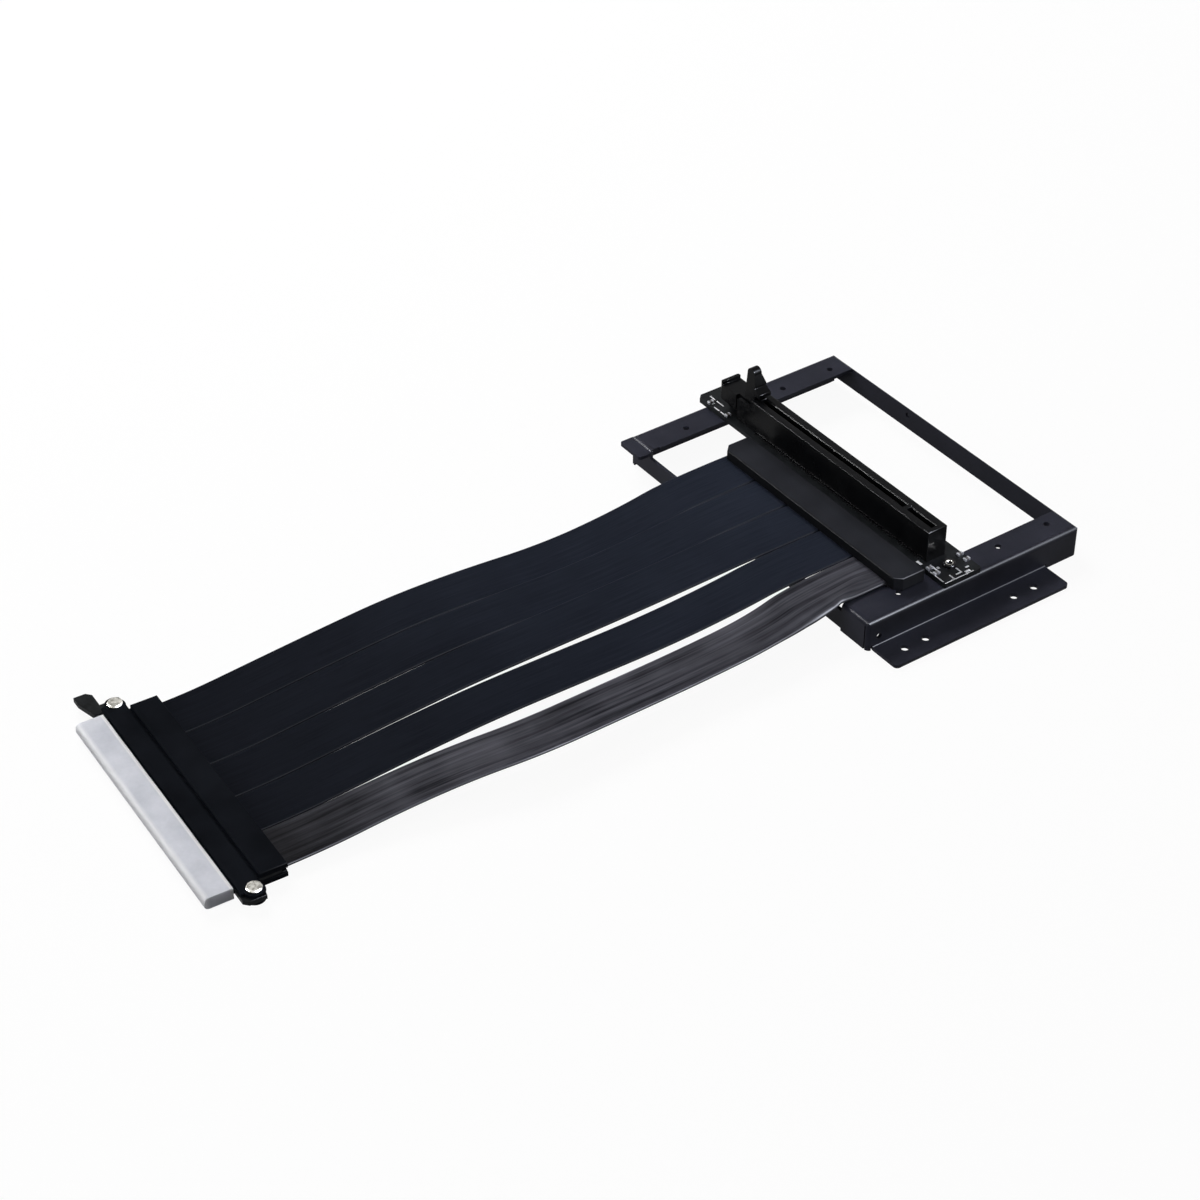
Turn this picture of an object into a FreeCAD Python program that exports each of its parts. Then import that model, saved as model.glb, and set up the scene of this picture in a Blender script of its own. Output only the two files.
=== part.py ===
import FreeCAD
import Part
import math
import os

# A flexible riser cable for an expansion card, on its sheet-metal bracket.
# The origin is midway between the foot's two outer screw holes, on the foot's
# underside. +X runs along the bars, from the cable towards the open window,
# +Y runs along the card slot to its latch, and +Z is up. All sizes are in millimetres.

Vec = FreeCAD.Vector
UP = Vec(0, 0, 1)

# Card edge: contacts at one pitch, with a key notch between the short and the long row
contact_pitch = 1.0
short_count = 11
long_count = 71
key_notch = 1.9
key_margin = 0.55
edge_margin = 1.1

# Bracket: one folded steel sheet
sheet_t = 1.2
bend_inner_r = 0.6
frame_left = 36.0
frame_length = 86.0
frame_before_slot = 12.2
frame_past_slot = 21.8
frame_height = 10.8
frame_corner_r = 1.6
inner_corner_r = 0.2
near_bar_width = 11.3
near_lip_width = 1.8
near_lip_gap = 0.5
far_bar_width = 11.3
left_wall_near = 13.1
left_wall_far = 10.7
left_wall_drop = 3.3
left_wall_lift = 1.0
right_wall_lift = 2.9
corner_slit = 0.5
flange_hole_d = 2.0
flange_hole_in = 4.3
flange_hole_z = 4.4
wall_hole_d = 1.8
wall_hole_from_far = 40.7
wall_hole_z = 8.0

# Foot of the bracket
foot_hole_d = 3.4
foot_outer_spacing = 52.6
foot_inner_spacing = 36.0
foot_hole_to_flange = 6.0
foot_left = 34.2
foot_right = 36.3
foot_reach = 5.45
foot_corner_r = 1.5

# Plate holes of the bracket: two rows at the slot pitch of a computer case
plate_hole_d = 2.9
plate_hole_pitch = 20.32
plate_hole_count = 4
plate_hole_first = 17.34
plate_hole_inset = 7.1

# Corner tab of the bracket, stepped down from the far bar
tab_out = 4.6
tab_width = 11.0
tab_step = 0.8
tab_corner_r = 1.0

# Slot board
pcb_t = 1.6
board_hole_column = 1
board_width = 15.0
board_near_in = 0.2
board_far_out = 4.1
board_corner_r = 1.0
board_notch = 1.6
wing_reach = 11.7
wing_near = 12.8
wing_far = 8.2

# Card slot
slot_width = 7.5
slot_end_wall = 1.7
slot_height = 11.25
slot_offset = -1.16
slot_edge_r = 0.35
slit_width = 1.78
slit_depth = 8.9
slit_lead = 0.45
slit_play = 0.2
cavity_half = 2.3
cavity_lip = 1.9
foot_gap = 0.4
yoke_length = 7.6
yoke_height = 8.6
yoke_cheek = 1.15

# Slot contacts
contact_t = 0.22
contact_w = 0.5
contact_foot = 0.9
contact_bow = 0.34
contact_rise = 8.9
contact_tip = 2.2

# Latch at the far end of the slot
latch_play = 0.2
latch_axis_out = 4.6
latch_axis_up = 4.6
latch_pin_r = 0.9
latch_pin_play = 0.06
latch_column = 5.2
latch_knob_r = 1.9
latch_slope = 1.0
latch_height = 21.1
latch_hook_reach = 2.6
latch_hook_top = 15.2
latch_hook_deep = 2.6
latch_lean = 1.0
latch_lean_under = 0.8
latch_base_round = 1.6
latch_paddle_top = 8.0
latch_paddle_t = 4.6
latch_paddle_gap = 0.5
latch_paddle_out = 16.6
latch_rib_t = 1.2
latch_wing = 7.4
latch_web_in = 1.0

# Screws of the board
screw_head_d = 4.2
screw_head_h = 1.1
screw_shank_d = 2.6
screw_length = 5.0
screw_seat = 0.1
board_hole_d = 3.0

# Chips on the board: the size of one, and how they are spaced
chip_l = 2.0
chip_w = 1.2
chip_h = 0.8
chip_in = 1.3
chip_pitch = 3.2
chip_from_slot = 3.0
chip_row_gap = 9.4

# Cable cover on the slot board
cover_depth = 11.0
cover_front_out = 2.0
cover_near_in = 6.9
cover_far_in = 6.2
cover_rise = 3.1
cover_drop = 3.1
cover_corner = 2.4
cover_edge_r = 0.5
cover_lower_in = 0.6
cover_lower_far_in = 0.4
cover_play = 0.25

# Ribbon cable
strip_count = 5
strip_w = 16.2
strip_t = 1.0
strip_gap = 0.35
ribbon_centre_y = 59.1
ribbon_grip = 1.7
bend_share = 0.45

# Plug: seen from above, a runs from its guard to the ribbons and b across it
plug_x = -253.2
plug_y = 66.6
plug_turn = -3.5
plug_height = 5.2
plug_low_height = 4.4
plug_bar_start = 9.8
plug_bar_end = 16.3
plug_groove_w = 1.0
plug_groove_deep = 0.6
plug_shell_end = 26.0
plug_bar_past = 3.9
plug_ear_r = 3.2
plug_edge_r = 0.4
rivet_a = 14.0
rivet_past = 3.5
rivet_head_r = 2.35
rivet_head_h = 0.9
rivet_shank_r = 1.2
rivet_end = 0.5

# Card edge of the plug
tongue_start = 1.3
tongue_chamfer = 0.5
finger_l = 5.4
finger_w = 0.7
finger_t = 0.04
finger_in = 0.7
hook_neck_start = 5.0
hook_neck_end = 10.4
hook_gap = 3.0
hook_past = 13.7
hook_tip_drop = 2.2
hook_tip_w = 3.4

# Guard over the card edge
guard_length = 9.0
guard_end_wall = 0.5
guard_end_play = 0.2
guard_thick = 4.2
guard_wall = 1.0
guard_play = 0.18
guard_front_r = 1.6


# Places that follow from the sizes
edge_short = (short_count - 1) * contact_pitch + key_margin + edge_margin
edge_long = (long_count - 1) * contact_pitch + key_margin + edge_margin
edge_total = edge_short + key_notch + edge_long
edge_half = edge_total / 2
slot_y0 = foot_hole_to_flange + frame_before_slot
slit_y0 = slot_y0 + slot_end_wall
slit_key_y0 = slit_y0 + edge_short + 2 * slit_play
slit_key_y1 = slit_key_y0 + key_notch - 2 * slit_play
slit_y1 = slit_y0 + edge_total + 2 * slit_play
slot_y1 = slit_y1 + slot_end_wall
frame_x0 = -frame_left
frame_x1 = frame_x0 + frame_length
frame_y0 = foot_hole_to_flange
frame_y1 = slot_y1 + frame_past_slot
bend_outer_r = bend_inner_r + sheet_t
plate_under = frame_height - sheet_t
row_near_y = frame_y0 + plate_hole_inset
row_far_y = frame_y1 - plate_hole_inset
board_z0 = frame_height
board_z1 = board_z0 + pcb_t
board_cx = frame_x0 + plate_hole_first + board_hole_column * plate_hole_pitch
board_x0 = board_cx - board_width / 2
board_x1 = board_cx + board_width / 2
board_y0 = frame_y0 + board_near_in
board_y1 = frame_y1 + board_far_out
wing_x0 = board_x0 - wing_reach
wing_y0 = board_y0 + wing_near
wing_y1 = slot_y1 - wing_far
slot_cx = board_cx + slot_offset
slot_top = board_z1 + slot_height
cover_x0 = wing_x0 - cover_front_out
cover_x1 = cover_x0 + cover_depth
cover_near = frame_y0 + cover_near_in
cover_far = slot_y1 - cover_far_in
cover_lower_near = frame_y0 + near_bar_width + cover_lower_in
cover_lower_far = cover_far - cover_lower_far_in
strip_pitch = strip_w + strip_gap
ribbon_z = (board_z0 + board_z1) / 2
ribbon_end_x = cover_x0 + ribbon_grip
plug_mid = plug_height / 2
plug_inner_half = edge_half
plug_bar_half = edge_half + plug_bar_past
rivet_b = edge_half + rivet_past
hook_inner = edge_half + hook_gap
hook_outer = edge_half + hook_past
guard_half = edge_half + guard_end_play + guard_end_wall
plug_pcb_z0 = plug_mid - pcb_t / 2
plug_pcb_z1 = plug_mid + pcb_t / 2
latch_axis_y = slot_y1 + latch_axis_out
latch_axis_z = board_z1 + latch_axis_up


def block(x0, x1, y0, y1, z0, z1):
    return Part.makeBox(x1 - x0, y1 - y0, z1 - z0, Vec(x0, y0, z0))


def cylinder(r, x, y, z0, z1):
    return Part.makeCylinder(r, z1 - z0, Vec(x, y, z0))


def polygon(points):
    return Part.Face(Part.makePolygon(list(points) + [points[0]]))


def vertical_edges(shape, xs=None, ys=None):
    """Upright edges, or only those that stand at the given places."""
    found = []
    for edge in shape.Edges:
        a, b = edge.Vertexes[0].Point, edge.Vertexes[-1].Point
        upright = abs(a.x - b.x) < 1e-6 and abs(a.y - b.y) < 1e-6
        at_x = xs is None or any(abs(a.x - x) < 1e-6 for x in xs)
        at_y = ys is None or any(abs(a.y - y) < 1e-6 for y in ys)
        if upright and at_x and at_y:
            found.append(edge)
    return found


def level_edges(shape, z):
    """Edges that lie flat at the height z."""
    return [e for e in shape.Edges
            if all(abs(v.Point.z - z) < 1e-6 for v in e.Vertexes)
            and abs(e.BoundBox.ZMax - e.BoundBox.ZMin) < 1e-6]


def plate(x0, x1, y0, y1, z0, z1, corner_r):
    body = block(x0, x1, y0, y1, z0, z1)
    return body.makeFillet(corner_r, vertical_edges(body))


def pan(inset, top, corner_r, edge_r):
    """A closed block whose upper edge is bent over and whose corners are then trimmed round."""
    sides = (frame_x0 + inset, frame_x1 - inset, frame_y0 + inset, frame_y1 - inset)
    body = block(*sides, -sheet_t, top)
    body = body.makeFillet(edge_r, level_edges(body, top))
    return body.common(plate(*sides, -sheet_t, top, corner_r))


def foot_sheet():
    """The foot and the bend that carries it, drawn in section and drawn out along X."""
    y_in = frame_y0 + sheet_t
    bend_y = frame_y0 - bend_inner_r
    s = math.sqrt(0.5)

    def at(y, z):
        return Vec(-foot_left, y, z)

    outer_mid = at(bend_y + bend_outer_r * s, bend_outer_r * (1 - s))
    inner_mid = at(bend_y + bend_inner_r * s, bend_outer_r - bend_inner_r * s)
    edges = [Part.LineSegment(at(-foot_reach, 0), at(bend_y, 0)).toShape(),
             Part.Arc(at(bend_y, 0), outer_mid, at(y_in, bend_outer_r)).toShape(),
             Part.LineSegment(at(y_in, bend_outer_r), at(frame_y0, bend_outer_r)).toShape(),
             Part.Arc(at(frame_y0, bend_outer_r), inner_mid, at(bend_y, sheet_t)).toShape(),
             Part.LineSegment(at(bend_y, sheet_t), at(-foot_reach, sheet_t)).toShape(),
             Part.LineSegment(at(-foot_reach, sheet_t), at(-foot_reach, 0)).toShape()]
    sheet = Part.Face(Part.Wire(edges)).extrude(Vec(foot_left + foot_right, 0, 0))
    sheet = sheet.makeFillet(foot_corner_r, vertical_edges(sheet, ys=[-foot_reach]))
    for spacing in (foot_outer_spacing, foot_inner_spacing):
        for side in (-1, 1):
            sheet = sheet.cut(cylinder(foot_hole_d / 2, side * spacing / 2, 0, -1, sheet_t + 1))
    return sheet


def bracket_frame():
    outer = pan(0, frame_height, frame_corner_r, bend_outer_r)
    inner = pan(sheet_t, plate_under, inner_corner_r, bend_inner_r)
    shell = outer.cut(inner)
    wall_in_x0 = frame_x0 + sheet_t
    wall_in_x1 = frame_x1 - sheet_t
    bar_y0 = frame_y0 + near_bar_width
    bar_y1 = frame_y1 - far_bar_width
    recess_y0 = frame_y0 + left_wall_near
    recess_y1 = frame_y1 - left_wall_far
    recess_z = frame_height - left_wall_drop
    past = 2 * sheet_t
    lip_x1 = cover_x0 - near_lip_gap
    cuts = [block(wall_in_x0, wall_in_x1, bar_y0 + near_lip_width, bar_y1,
                  -past, frame_height + past),
            block(lip_x1, wall_in_x1, bar_y0, bar_y0 + 2 * near_lip_width,
                  -past, frame_height + past),
            block(frame_x0 - past, wall_in_x0 + past, recess_y0, recess_y1,
                  recess_z, frame_height + past),
            block(frame_x0 - past, frame_x1 + past, frame_y0 - past, frame_y1 + past, -past, 0),
            block(frame_x0 - past, wall_in_x0, recess_y0, frame_y1 - frame_corner_r - corner_slit,
                  -past, left_wall_lift),
            block(wall_in_x1, frame_x1 + past, frame_y0 + frame_corner_r,
                  frame_y1 - frame_corner_r, -past, right_wall_lift),
            block(-foot_left - corner_slit, foot_right + corner_slit,
                  frame_y0 - past, frame_y0 + sheet_t + past, -past, bend_outer_r)]
    slit_top = plate_under - bend_inner_r
    for x0, x1 in ((frame_x0 - past, frame_x0 + frame_corner_r),
                   (frame_x1 - frame_corner_r, frame_x1 + past)):
        for y in (frame_y0 + frame_corner_r, frame_y1 - frame_corner_r):
            cuts.append(block(x0, x1, y, y + corner_slit, -past, slit_top))
    for i in range(plate_hole_count):
        x = frame_x0 + plate_hole_first + i * plate_hole_pitch
        for y in (row_near_y, row_far_y):
            cuts.append(cylinder(plate_hole_d / 2, x, y, plate_under - 1, frame_height + 1))
    flange_hole = Part.makeCylinder(flange_hole_d / 2, 3 * sheet_t,
                                    Vec(frame_x0 + flange_hole_in, frame_y0 - sheet_t,
                                        flange_hole_z), Vec(0, 1, 0))
    wall_hole = Part.makeCylinder(wall_hole_d / 2, 3 * sheet_t,
                                  Vec(frame_x1 - 2 * sheet_t, frame_y1 - wall_hole_from_far,
                                      wall_hole_z), Vec(1, 0, 0))
    cuts += [flange_hole, wall_hole]
    shell = shell.cut(cuts)
    tab_top = frame_height - tab_step
    tab = plate(frame_x0 - tab_out, wall_in_x0, frame_y1 - tab_width, frame_y1,
                tab_top - sheet_t, tab_top, tab_corner_r)
    return shell.fuse([foot_sheet(), tab]).removeSplitter()


def slot_board():
    y_far = board_y1
    notch_y = y_far - board_notch
    outline = [Vec(board_x0, board_y0, board_z0), Vec(board_x1, board_y0, board_z0),
               Vec(board_x1, notch_y, board_z0),
               Vec(board_x1 - board_notch, y_far, board_z0),
               Vec(board_x0 + board_notch, y_far, board_z0),
               Vec(board_x0, notch_y, board_z0),
               Vec(board_x0, wing_y1, board_z0), Vec(wing_x0, wing_y1, board_z0),
               Vec(wing_x0, wing_y0, board_z0), Vec(board_x0, wing_y0, board_z0)]
    board = polygon(outline).extrude(Vec(0, 0, pcb_t))
    board = board.makeFillet(board_corner_r, vertical_edges(board, ys=[board_y0]))
    for y in (row_near_y, row_far_y):
        board = board.cut(cylinder(board_hole_d / 2, board_cx, y, board_z0 - 1, board_z1 + 1))
    return board


def slot_segments():
    """The slit's two stretches along Y, on each side of the key bar."""
    return [(slit_y0, slit_key_y0), (slit_key_y1, slit_y1)]


def slot_housing():
    half = slot_width / 2
    x0, x1 = slot_cx - half, slot_cx + half
    body = block(x0, x1, slot_y0, slot_y1, board_z1, slot_top)
    body = body.makeFillet(slot_edge_r, level_edges(body, slot_top))
    yoke_top = board_z1 + yoke_height
    yoke_y1 = slot_y1 + yoke_length
    yoke = block(x0, x1, slot_y1, yoke_y1, board_z1, yoke_top)
    yoke = yoke.makeFillet(1.2, [e for e in yoke.Edges
                                 if abs(e.BoundBox.YMin - yoke_y1) < 1e-6
                                 and e.BoundBox.YLength < 1e-6
                                 and abs(e.BoundBox.ZMin - yoke_top) < 1e-6])
    cheek_in = half - yoke_cheek
    cuts = [block(slot_cx - cheek_in, slot_cx + cheek_in, slot_y1, yoke_y1 + 1,
                  board_z1, yoke_top + 1)]
    pin_hole = Part.makeCylinder(latch_pin_r + latch_pin_play, 2 * slot_width,
                                 Vec(slot_cx - slot_width, latch_axis_y, latch_axis_z),
                                 Vec(1, 0, 0))
    cuts.append(pin_hole)
    floor = slot_top - slit_depth
    slit_half = slit_width / 2
    lead = slit_half + slit_lead
    for y0, y1 in slot_segments():
        cuts.append(block(slot_cx - slit_half, slot_cx + slit_half, y0, y1, floor, slot_top + 1))
        mouth = polygon([Vec(slot_cx - slit_half, y0, slot_top - slit_lead),
                         Vec(slot_cx + slit_half, y0, slot_top - slit_lead),
                         Vec(slot_cx + lead, y0, slot_top),
                         Vec(slot_cx - lead, y0, slot_top)])
        cuts.append(mouth.extrude(Vec(0, y1 - y0, 0)))
        for side in (-1, 1):
            inner, outer = sorted((slot_cx + side * slit_half, slot_cx + side * cavity_half))
            cuts.append(block(inner, outer, y0, y1, board_z1, slot_top - cavity_lip))
            gap_in, gap_out = sorted((slot_cx + side * cavity_half, slot_cx + side * (half + 1)))
            cuts.append(block(gap_in, gap_out, y0, y1, board_z1, board_z1 + foot_gap))
    return body.fuse(yoke).cut(cuts).removeSplitter()


def contact_stations():
    """Contact centres along the card edge, from its short end."""
    short = [edge_margin + i * contact_pitch for i in range(short_count)]
    start = short[-1] + 2 * key_margin + key_notch
    return short + [start + i * contact_pitch for i in range(long_count)]


def slot_contacts(side):
    """One row of spring contacts: a foot on the board and a bowed blade in the housing."""
    back = cavity_half - 0.1
    front = back - contact_t
    touch = slit_width / 2 - contact_bow
    top = board_z1 + contact_rise
    bow_z = top - contact_tip
    section = [(slot_width / 2 + contact_foot, board_z1), (back, board_z1 + contact_t),
               (touch, bow_z), (front, board_z1)]
    solids = []
    y_first = slit_y0 + slit_play
    for station in contact_stations():
        y = y_first + station - contact_w / 2
        face = polygon([Vec(slot_cx + side * x, y, z) for x, z in section])
        solids.append(face.extrude(Vec(0, contact_w, 0)))
    return Part.makeCompound(solids)


def slot_latch():
    """The lever: a column with a hook over the slot, a knob on top and a paddle behind."""
    half = slot_width / 2 - yoke_cheek - latch_play
    y_in = slot_y1 + latch_play
    y_col = y_in + latch_column
    y_out = slot_y1 + latch_paddle_out
    base = board_z1 + latch_play
    knob_y = y_col - latch_knob_r
    knob_z = board_z1 + latch_height - latch_knob_r
    hook_z = board_z1 + latch_hook_top
    paddle_z = board_z1 + latch_paddle_top
    under = paddle_z - latch_paddle_t

    def side_face(points, x):
        return polygon([Vec(x, y, z) for y, z in points])

    column = side_face([(y_in, latch_axis_z - latch_lean_under), (y_in + latch_lean, base),
                        (y_col - latch_base_round, base), (y_col, base + latch_base_round),
                        (y_col, knob_z), (knob_y - latch_knob_r, knob_z),
                        (y_in, hook_z + latch_slope),
                        (y_in, hook_z), (y_in - latch_hook_reach, hook_z - latch_hook_deep / 2),
                        (y_in - latch_hook_reach, hook_z - latch_hook_deep),
                        (y_in, hook_z - latch_hook_deep)], slot_cx - half)
    column = column.extrude(Vec(2 * half, 0, 0))
    knob = Part.makeCylinder(latch_knob_r, 2 * half,
                             Vec(slot_cx - half, knob_y, knob_z), Vec(1, 0, 0))
    wing_half = latch_wing / 2
    paddle_y0 = slot_y1 + yoke_length + latch_paddle_gap
    rib_z = paddle_z + latch_rib_t
    paddle = side_face([(paddle_y0, under), (y_out, under), (y_out, rib_z),
                        (y_out - latch_rib_t, rib_z), (y_out - latch_rib_t, paddle_z),
                        (paddle_y0, paddle_z)],
                       slot_cx - wing_half).extrude(Vec(2 * wing_half, 0, 0))
    paddle = paddle.makeFillet(0.6, vertical_edges(paddle, ys=[y_out]))
    web = block(slot_cx - half, slot_cx + half, y_col - latch_web_in, paddle_y0 + latch_web_in,
                under, paddle_z)
    pin = Part.makeCylinder(latch_pin_r, slot_width,
                            Vec(slot_cx - slot_width / 2, latch_axis_y, latch_axis_z),
                            Vec(1, 0, 0))
    return column.fuse([knob, web, paddle, pin]).removeSplitter()


def board_screws():
    solids = []
    for y in (row_near_y, row_far_y):
        head = cylinder(screw_head_d / 2, board_cx, y, board_z1, board_z1 + screw_head_h)
        shank = cylinder(screw_shank_d / 2, board_cx, y,
                         board_z1 + screw_seat - screw_length, board_z1)
        solids.append(head.fuse(shank).removeSplitter())
    return Part.makeCompound(solids)


def board_parts():
    """Small chips at the two free ends of the board."""
    near = slot_y0 - chip_from_slot
    far = slot_y1 + yoke_length + chip_from_slot
    left, right = board_x0 + chip_in, board_x1 - chip_in
    places = [(left, near), (left, near - chip_pitch), (right, near), (right, near - chip_pitch),
              (left, far), (right, far), (left, far + chip_row_gap), (right, far + chip_row_gap)]
    solids = []
    for x, y in places:
        solids.append(block(x - chip_l / 2, x + chip_l / 2, y - chip_w / 2, y + chip_w / 2,
                            board_z1, board_z1 + chip_h))
    return Part.makeCompound(solids)


def cover_outline(y0, y1, z, chamfered):
    """The cover's plan, with its two front corners cut off."""
    c = cover_corner if chamfered else 0.01
    return polygon([Vec(cover_x1, y0, z), Vec(cover_x1, y1, z), Vec(cover_x0 + c, y1, z),
                    Vec(cover_x0, y1 - c, z), Vec(cover_x0, y0 + c, z), Vec(cover_x0 + c, y0, z)])


def ribbon_mouth(z0, z1, x0, x1):
    half = (strip_count - 1) * strip_pitch / 2 + strip_w / 2 + cover_play
    return block(x0, x1, ribbon_centre_y - half, ribbon_centre_y + half, z0, z1)


def cable_cover_top():
    lip_z = ribbon_z - strip_t / 2
    top = board_z1 + cover_rise
    body = cover_outline(cover_near, cover_far, lip_z, True).extrude(Vec(0, 0, top - lip_z))
    body = body.makeFillet(cover_edge_r, level_edges(body, top))
    past = cover_depth
    board_room = block(ribbon_end_x, cover_x1 + past, wing_y0 - cover_play, wing_y1 + cover_play,
                       lip_z - 1, board_z1)
    mouth = ribbon_mouth(lip_z - 1, ribbon_z + strip_t / 2, cover_x0 - 1, ribbon_end_x + 1)
    return body.cut([board_room, mouth]).removeSplitter()


def cable_cover_bottom():
    bottom = board_z0 - cover_drop
    body = cover_outline(cover_lower_near, cover_lower_far, bottom, True)
    body = body.extrude(Vec(0, 0, board_z0 - bottom))
    body = body.makeFillet(cover_edge_r, level_edges(body, bottom))
    lip = block(cover_x0, ribbon_end_x - cover_play, cover_lower_near + cover_corner,
                cover_lower_far - cover_corner, board_z0 - 1, ribbon_z - strip_t / 2)
    return body.fuse(lip).removeSplitter()


def plug_placement():
    turn = FreeCAD.Rotation(UP, plug_turn)
    return FreeCAD.Placement(Vec(plug_x, plug_y, 0), turn)


def place_plug(shape):
    shape = shape.copy()
    shape.transformShape(plug_placement().toMatrix())
    return shape


def plug_point(a, b, z):
    return plug_placement().multVec(Vec(a, b, z))


def plug_board():
    b0 = -edge_half
    back = plug_shell_end - ribbon_grip
    key0 = b0 + edge_short
    key1 = key0 + key_notch
    z = plug_pcb_z0
    ear = rivet_b + plug_ear_r
    start = plug_bar_start - 0.4
    key_depth = start - 1.0
    outline = [(tongue_start, b0), (tongue_start, key0), (key_depth, key0), (key_depth, key1),
               (tongue_start, key1), (tongue_start, -b0), (start, -b0), (start, hook_inner),
               (hook_neck_start + hook_tip_drop, hook_inner), (hook_neck_start, hook_outer - hook_tip_w),
               (hook_neck_start, hook_outer), (hook_neck_end - 1.6, hook_outer),
               (hook_neck_end, hook_outer - 1.6), (hook_neck_end, ear), (plug_bar_end, ear),
               (plug_bar_end, plug_inner_half - 0.4), (back, plug_inner_half - 0.4),
               (back, 0.4 - plug_inner_half), (plug_bar_end, 0.4 - plug_inner_half),
               (plug_bar_end, -ear), (start + 1.5, -ear), (start, 1.5 - ear), (start, b0)]
    board = polygon([Vec(a, b, z) for a, b in outline]).extrude(Vec(0, 0, pcb_t))
    nose = tongue_start + 2 * tongue_chamfer
    for z0, z1 in ((plug_pcb_z0, plug_pcb_z0 + tongue_chamfer),
                   (plug_pcb_z1, plug_pcb_z1 - tongue_chamfer)):
        wedge = polygon([Vec(tongue_start - 1, -b0 + 1, z0), Vec(nose, -b0 + 1, z0),
                         Vec(tongue_start, -b0 + 1, z1), Vec(tongue_start - 1, -b0 + 1, z1)])
        board = board.cut(wedge.extrude(Vec(0, 2 * b0 - 2, 0)))
    for side in (-1, 1):
        board = board.cut(cylinder(rivet_shank_r + 0.1, rivet_a, side * rivet_b, z - 1, z + 3))
    return place_plug(board)


def plug_fingers(z0, z1):
    solids = []
    b0 = -edge_half
    first = tongue_start + 2 * tongue_chamfer + finger_in
    for station in contact_stations():
        b = b0 + station
        solids.append(block(first, first + finger_l, b - finger_w / 2, b + finger_w / 2, z0, z1))
    return place_plug(Part.makeCompound(solids))


def shell_half(z_board, z_low, z_high, lip_z):
    """One half of the plug's shell: a low bar with rivet ears, a groove and a raised bar."""
    def slab(a0, a1, half, z):
        lo, hi = sorted((z_board, z))
        return block(a0, a1, -half, half, lo, hi)

    low = slab(plug_bar_start, plug_bar_end + 0.6, plug_bar_half, z_low)
    for side in (-1, 1):
        lo, hi = sorted((z_board, z_low))
        low = low.fuse(cylinder(plug_ear_r, rivet_a, side * rivet_b, lo, hi))
    raised = slab(plug_bar_end, plug_shell_end, plug_inner_half, z_high)
    raised = raised.makeFillet(plug_edge_r, level_edges(raised, z_high))
    body = low.fuse(raised).removeSplitter()
    groove_z = z_low - math.copysign(plug_groove_deep, z_low - z_board)
    lo, hi = sorted((groove_z, z_high + math.copysign(1, z_high - z_board)))
    body = body.cut(block(plug_bar_end, plug_bar_end + plug_groove_w,
                          -2 * plug_inner_half, 2 * plug_inner_half, lo, hi))
    lo, hi = sorted((z_board, lip_z))
    grip = plug_shell_end - ribbon_grip
    lip = block(grip, plug_shell_end, -plug_inner_half + 0.6, plug_inner_half - 0.6, lo, hi)
    body = body.fuse(lip).removeSplitter()
    lo, hi = sorted((z_board, z_high))
    for side in (-1, 1):
        body = body.cut(cylinder(rivet_shank_r, rivet_a, side * rivet_b, lo - 1, hi + 1))
    return body


def plug_shell_top():
    return place_plug(shell_half(plug_pcb_z1, plug_low_height, plug_height,
                                 plug_mid + strip_t / 2))


def plug_shell_bottom():
    body = shell_half(plug_pcb_z0, plug_height - plug_low_height, 0, plug_mid - strip_t / 2)
    return place_plug(body)


def plug_rivets():
    low = plug_height - plug_low_height
    solids = []
    for side in (-1, 1):
        b = side * rivet_b
        head = cylinder(rivet_head_r, rivet_a, b, plug_low_height,
                        plug_low_height + rivet_head_h)
        shank = cylinder(rivet_shank_r, rivet_a, b, low - rivet_end, plug_low_height)
        solids.append(head.fuse(shank).removeSplitter())
    return place_plug(Part.makeCompound(solids))


def finger_guard():
    """A cap of soft plastic with one long mouth, pushed over the card edge."""
    z0 = plug_mid - guard_thick / 2
    z1 = plug_mid + guard_thick / 2
    body = block(0, guard_length, -guard_half, guard_half, z0, z1)
    front = [e for e in body.Edges if e.BoundBox.XMax < 1e-6 and e.BoundBox.ZLength < 1e-6]
    body = body.makeFillet(guard_front_r, front)
    room = pcb_t / 2 + finger_t + guard_play
    inside = guard_half - guard_end_wall
    body = body.cut(block(guard_wall, 2 * guard_length, -inside, inside,
                          plug_mid - room, plug_mid + room))
    return place_plug(body)


# The ribbons' routes: stations along X, then for each strip, from the far one to the near one,
# the height of its mid layer and how far it drifts sideways from its own lane
ribbon_stations = [-217.0, -193.0, -170.0, -148.0, -122.0, -90.0, -63.0, -43.0]
ribbon_heights = [[2.6, 5.1, 7.9, 9.8, 8.8, 5.6, 7.5, 11.6],
                  [2.6, 5.1, 7.9, 9.9, 9.3, 7.6, 9.0, 11.6],
                  [2.6, 5.2, 8.0, 9.9, 9.7, 9.3, 10.1, 11.6],
                  [2.6, 5.2, 8.0, 9.9, 9.6, 8.9, 9.9, 11.6],
                  [2.6, 5.1, 7.9, 9.7, 9.2, 8.2, 9.4, 11.6]]
ribbon_drifts = [[5.4, 4.8, 4.0, 3.2, 2.7, 2.1, 1.4, 0.4],
                 [5.4, 4.5, 3.4, 2.5, 2.3, 2.0, 1.5, 0.4],
                 [5.5, 4.3, 2.9, 1.9, 2.0, 2.2, 1.6, 0.5],
                 [5.5, 4.2, 2.4, 1.1, 0.6, 0.2, 0.2, 0.5],
                 [5.4, 4.1, 0.2, -3.3, -2.8, -2.0, -2.2, 0.4]]


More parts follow.
